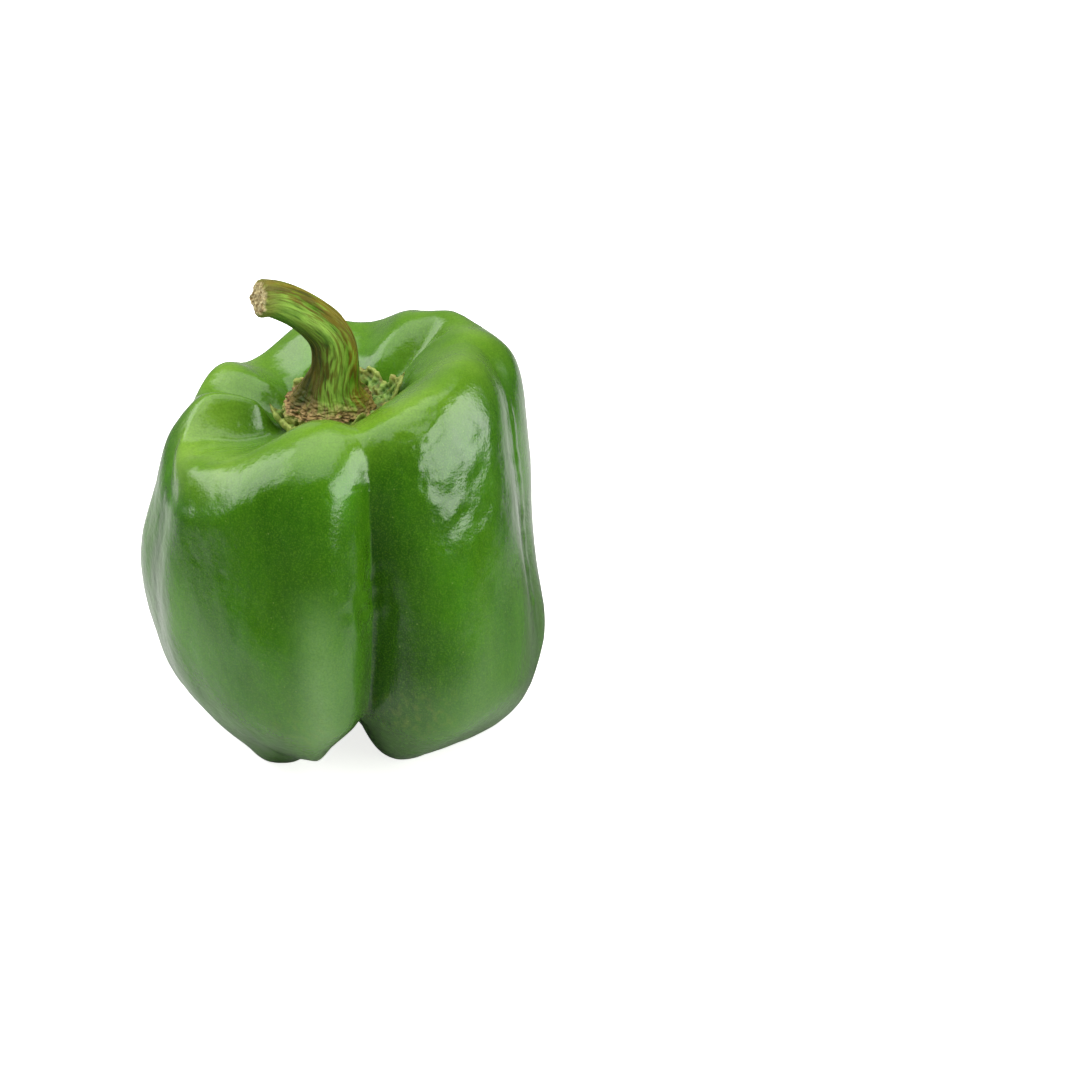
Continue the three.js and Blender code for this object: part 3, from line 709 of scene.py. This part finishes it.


# Stem, ridged and fibrous: a pale band of painted sheen along its front, olive brown streaks along its outer
# edge, deep green with dark streaks on its inner side, granular tan cork near the base and dry pith at the
# cut
def stalkFibre():
    s = stalkFinish
    material, tree, shader, place = startMaterial("ridged_stalk")
    grain = field(tree, "grain", "Vector")
    along, front, side = field(tree, "along"), field(tree, "front"), field(tree, "side")
    fibres = spread(tree, noise(tree, grain, 1.3, 6.0, (1, 1, 0.24), millimetre), 0.34, 0.66)
    threads = spread(tree, noise(tree, grain, 0.5, 5.0, (1, 1, 0.14), millimetre), 0.42, 0.6)
    clouds = noise(tree, grain, 3.4, 6.0, (1, 1, 0.5), millimetre)

    # where value + 0.6 x share lies between two levels, times a strength
    def mask(value, share, low, high, strength):
        mixed = calculate(tree, "ADD", value, calculate(tree, "MULTIPLY", share, 0.6))
        return calculate(tree, "MULTIPLY", spread(tree, mixed, low, high), strength)

    # the station, made uneven by the clouds
    def unevenAlong(amount):
        return calculate(tree, "ADD", along, calculate(tree, "MULTIPLY", clouds, amount))

    colour = blend(tree, fibres, *s["fibre"])
    # painted sheen: a pale band where the stalk faces the front
    colour = blend(tree, mask(front, fibres, 0.8, 1.3, 0.7), colour, s["front"])
    colour = blend(tree, mask(side, clouds, 0.1, -0.4, 0.85), colour, s["innerGreen"])
    colour = blend(tree, calculate(tree, "MULTIPLY", threads, 0.35), colour, s["threads"])
    outer = mask(side, calculate(tree, "ADD", threads, clouds), 1.05, 1.5, 0.9)
    colour = blend(tree, outer, colour, blend(tree, fibres, *s["outerBrown"]))
    inner = mask(side, calculate(tree, "MULTIPLY", threads, -1.2), -0.15, -0.9, 0.9)
    inner = calculate(tree, "MULTIPLY", inner, spread(tree, unevenAlong(1.0), 7.0, 5.0))
    colour = blend(tree, inner, colour, blend(tree, fibres, *s["innerBrown"]))
    nearCut = calculate(tree, "MULTIPLY", spread(tree, unevenAlong(0.8), 7.2, 8.1), 0.6)
    colour = blend(tree, nearCut, colour, s["nearCut"])
    # cork, with green left here and there
    grains = spread(tree, noise(tree, place, 0.9, 4.0), 0.36, 0.62)
    covered = spread(tree, noise(tree, place, 2.2, 4.0), 0.56, 0.62, 0.9, 0.2)
    corky = calculate(tree, "MULTIPLY", spread(tree, unevenAlong(1.6), 2.5, 1.75), covered)
    colour = blend(tree, corky, colour, blend(tree, grains, *s["cork"]))
    base = calculate(tree, "MULTIPLY", spread(tree, along, 0.5, 0.2), 0.85)
    colour = blend(tree, base, colour, blend(tree, grains, *s["base"]))
    pith = blend(tree, spread(tree, noise(tree, place, 0.8, 4.0), 0.35, 0.65), *s["pith"])
    cut = calculate(tree, "ADD", along, calculate(tree, "MULTIPLY", noise(tree, place, 1.5, 3.0), 0.3))
    colour = blend(tree, spread(tree, cut, 8.0, 8.12), colour, pith)
    tree.links.new(colour, shader.inputs["Base Color"])
    relief = bump(tree, threads, 0.18, 0.7)
    relief = bump(tree, noise(tree, place, 0.5, 4.0), 0.14, 0.6, relief)
    tree.links.new(relief, shader.inputs["Normal"])
    shader.inputs["Roughness"].default_value = s["roughness"]
    shader.inputs["Specular IOR Level"].default_value = s["specular"]
    return material


# The three pieces, each in place of its solid
for make, node, finish, slot in (
        (makeFruit, "fruit", waxySkin, "skin"),
        (makeCalyx, "calyx", calyxLeaf, "calyx"),
        (makeStem, "stem", stalkFibre, "stem")):
    piece = make()
    piece.data.materials.append(finish())
    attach(piece, "root")
    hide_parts(node)
    print("made", piece.name, "for", node, "with", len(piece.data.polygons), "faces")


# Floor, light and camera. Distances and sizes of the floor and lights are in m, angles in degrees;
# brightness is that of a lit face, where the white floor is near 1.
stageSettings = {
    "floorSize": 4.0, "floorColour": "#f7f7f5",
    # as the skin mirrors it, the floor is clear up to the inner two of these places and gone at the outer
    "tableEnds": {"X": (-0.35, -0.12, 0.15, 0.22), "Y": (-0.13, -0.06, 0.3, 0.6)},
    "tableSkew": 0.45,   # its right end reaches further out at the back
    "tableShade": 0.4,   # how far the skin sees it mixed towards black
    "darkSpot": (0.095, 0.03, 0.045, 0.08), "spotShade": 0.85,   # x, y, inner and outer radius
    "shadowShare": 0.14,   # how much of its shadow the camera sees
    # the last is the place of the pepper's axis on the film, in mm of the pepper
    "lens": 100, "sensor": 36, "distance": 0.709, "elevation": 28, "axisOnFilm": (-46.1, -43.03),
    # azimuth, elevation, distance, width, depth, brightness
    "lights": {
        "overhead": (90, 89, 1.0, 1.3, 1.2, 2.8),
        "key_right": (-38, 27, 0.9, 0.3, 0.75, 4.6),
        "key_left": (168, 40, 0.9, 0.5, 0.42, 5.0),
    },
    # azimuth, elevation, half width and half height as tangents, brightness
    "windows": [(90, 89.9, 0.58, 0.58, 2.1), (-17, 22, 0.72, 0.36, 5.8), (168, 35, 0.33, 0.39, 3.8)],
    "windowEdges": (0.92, 1.14),   # shares of that size at which a window starts and ends to fade
    "fill": 0.35,
}


# White paper sweep that the pepper stands on, dull, so with no gloss of its own. Seen in the skin, it fades
# out away from the pepper, as a small table does, and has a dark spot on the right.
def makeFloor():
    s = stageSettings
    size = s["floorSize"]
    mesh = bpy.data.meshes.new("floor")
    corners = [(-size, -size, 0), (size, -size, 0), (size, size, 0), (-size, size, 0)]
    mesh.from_pydata(corners, [], [(0, 1, 2, 3)])
    floor = bpy.data.objects.new("floor", mesh)
    bpy.context.scene.collection.objects.link(floor)
    material, tree, shader, place = startMaterial("white_paper_sweep")
    parts = addNode(tree, "ShaderNodeSeparateXYZ", {}, {}, {"Vector": place})
    skewed = calculate(tree, "MULTIPLY", parts.outputs["Y"], s["tableSkew"])
    places = {"X": calculate(tree, "SUBTRACT", parts.outputs["X"], skewed), "Y": parts.outputs["Y"]}
    lit = 1.0
    for axis, (outerLow, low, high, outerHigh) in s["tableEnds"].items():
        lit = calculate(tree, "MULTIPLY", lit, spread(tree, places[axis], outerLow, low))
        lit = calculate(tree, "MULTIPLY", lit, spread(tree, places[axis], outerHigh, high))
    x, y, inner, outer = s["darkSpot"]
    away = addNode(tree, "ShaderNodeVectorMath", {"operation": "DISTANCE"}, {1: (x, y, 0)}, {0: place})
    spot = spread(tree, away.outputs["Value"], outer, inner)
    path = addNode(tree, "ShaderNodeLightPath")
    mirrored = path.outputs["Is Glossy Ray"]
    shade = spread(tree, spot, 0.0, 1.0, s["tableShade"], s["spotShade"])
    colour = blend(tree, calculate(tree, "MULTIPLY", shade, mirrored), s["floorColour"], "#101010")
    tree.links.new(colour, shader.inputs["Base Color"])
    clear = addNode(tree, "ShaderNodeBsdfTransparent").outputs[0]
    faded = calculate(tree, "MULTIPLY", calculate(tree, "SUBTRACT", 1.0, lit), mirrored)
    mixed = addNode(tree, "ShaderNodeMixShader")
    tree.links.new(faded, mixed.inputs[0])
    tree.links.new(shader.outputs[0], mixed.inputs[1])
    tree.links.new(clear, mixed.inputs[2])
    tree.links.new(mixed.outputs[0], tree.nodes["Material Output"].inputs["Surface"])
    # the camera sees the floor's shadows lightened, as over a paper lit from below
    shader.inputs["Emission Color"].default_value = linearColour(s["floorColour"])
    glow = calculate(tree, "MULTIPLY", path.outputs["Is Camera Ray"], 1 - s["shadowShare"])
    tree.links.new(glow, shader.inputs["Emission Strength"])
    shader.inputs["Roughness"].default_value = 0.9
    shader.inputs["Specular IOR Level"].default_value = 0.0
    mesh.materials.append(material)


# A softbox: the power for the wanted brightness is brightness x pi x its area. The skin doesn't mirror it,
# but the room's windows.
def makeLight(name, azimuth, elevation, distance, width, depth, brightness):
    light = bpy.data.lights.new(name, "AREA")
    light.shape = "RECTANGLE"
    light.size = width
    light.size_y = depth
    light.energy = brightness * np.pi * width * depth
    a, e = np.radians([azimuth, elevation])
    direction = Vector((np.cos(a) * np.cos(e), np.sin(a) * np.cos(e), np.sin(e)))
    lamp = bpy.data.objects.new(name, light)
    lamp.location = direction * distance + Vector((0, 0, 0.05))
    lamp.rotation_euler = direction.to_track_quat("Z", "Y").to_euler()
    lamp.visible_glossy = False
    bpy.context.scene.collection.objects.link(lamp)


# Camera: back from the pepper's axis along its line of sight, moved so that the axis falls in its place
def makeCamera():
    s = stageSettings
    tilt = np.radians(s["elevation"])
    right = np.array([1, 0, 0])
    up = np.array([0, np.sin(tilt), np.cos(tilt)])
    ahead = np.array([0, np.cos(tilt), -np.sin(tilt)])
    onFilm = np.array(s["axisOnFilm"]) * millimetre
    place = shift * millimetre - right * onFilm[0] - up * onFilm[1] - ahead * s["distance"]
    camera = bpy.data.cameras.new("camera")
    camera.lens = s["lens"]
    camera.sensor_width = s["sensor"]
    camera.clip_start = 0.01
    eye = bpy.data.objects.new("camera", camera)
    eye.location = place
    eye.rotation_euler = (np.pi / 2 - tilt, 0, 0)
    bpy.context.scene.collection.objects.link(eye)
    bpy.context.scene.camera = eye


# The room: white behind the floor's edge, an even fill for the light, and for mirror images a dark side
# towards the camera, paler walls at the back and the left, and three windows. A direction is in a window
# where its sideways and upward parts, divided by its forward part, are under the half width and height.
def makeRoom():
    world = bpy.data.worlds.new("studio")
    world.use_nodes = True
    tree = world.node_tree
    background = tree.nodes["Background"]
    direction = addNode(tree, "ShaderNodeTexCoord").outputs["Generated"]
    parts = addNode(tree, "ShaderNodeSeparateXYZ", {}, {}, {"Vector": direction})
    walls = spread(tree, parts.outputs["Y"], -0.1, 0.9, 0.02, 0.3)
    walls = calculate(tree, "MULTIPLY", walls, spread(tree, parts.outputs["X"], 0.0, 0.5, 1.0, 0.25))
    fullAt, fadedAt = stageSettings["windowEdges"]
    for azimuth, elevation, halfWidth, halfHeight, brightness in stageSettings["windows"]:
        a, e = np.radians([azimuth, elevation])
        ahead = (np.cos(a) * np.cos(e), np.sin(a) * np.cos(e), np.sin(e))
        right = (-np.sin(a), np.cos(a), 0.0)
        up = (-np.cos(a) * np.sin(e), -np.sin(a) * np.sin(e), np.cos(e))
        depth, across, over = (
            addNode(tree, "ShaderNodeVectorMath", {"operation": "DOT_PRODUCT"}, {1: axis}, {0: direction})
            .outputs["Value"] for axis in (ahead, right, up))
        inside = spread(tree, depth, 0.0, 0.1)
        for offset, half in ((across, halfWidth), (over, halfHeight)):
            away = calculate(tree, "ABSOLUTE", calculate(tree, "DIVIDE", offset, depth))
            inside = calculate(tree, "MULTIPLY", inside, spread(tree, away, half * fadedAt, half * fullAt))
        walls = calculate(tree, "ADD", walls, calculate(tree, "MULTIPLY", inside, brightness))
    path = addNode(tree, "ShaderNodeLightPath")
    glossy = calculate(tree, "MULTIPLY", path.outputs["Is Glossy Ray"],
                       calculate(tree, "SUBTRACT", walls, stageSettings["fill"]))
    seen = calculate(tree, "MULTIPLY", path.outputs["Is Camera Ray"], 1.0 - stageSettings["fill"])
    strength = calculate(tree, "ADD", calculate(tree, "ADD", glossy, seen), stageSettings["fill"])
    tree.links.new(strength, background.inputs["Strength"])
    background.inputs["Color"].default_value = (1, 1, 1, 1)
    bpy.context.scene.world = world


makeCamera()
makeFloor()
makeRoom()
for name, numbers in stageSettings["lights"].items():
    makeLight(name, *numbers)
bpy.context.scene.view_settings.view_transform = "Standard"
print("stage, light and camera are set")
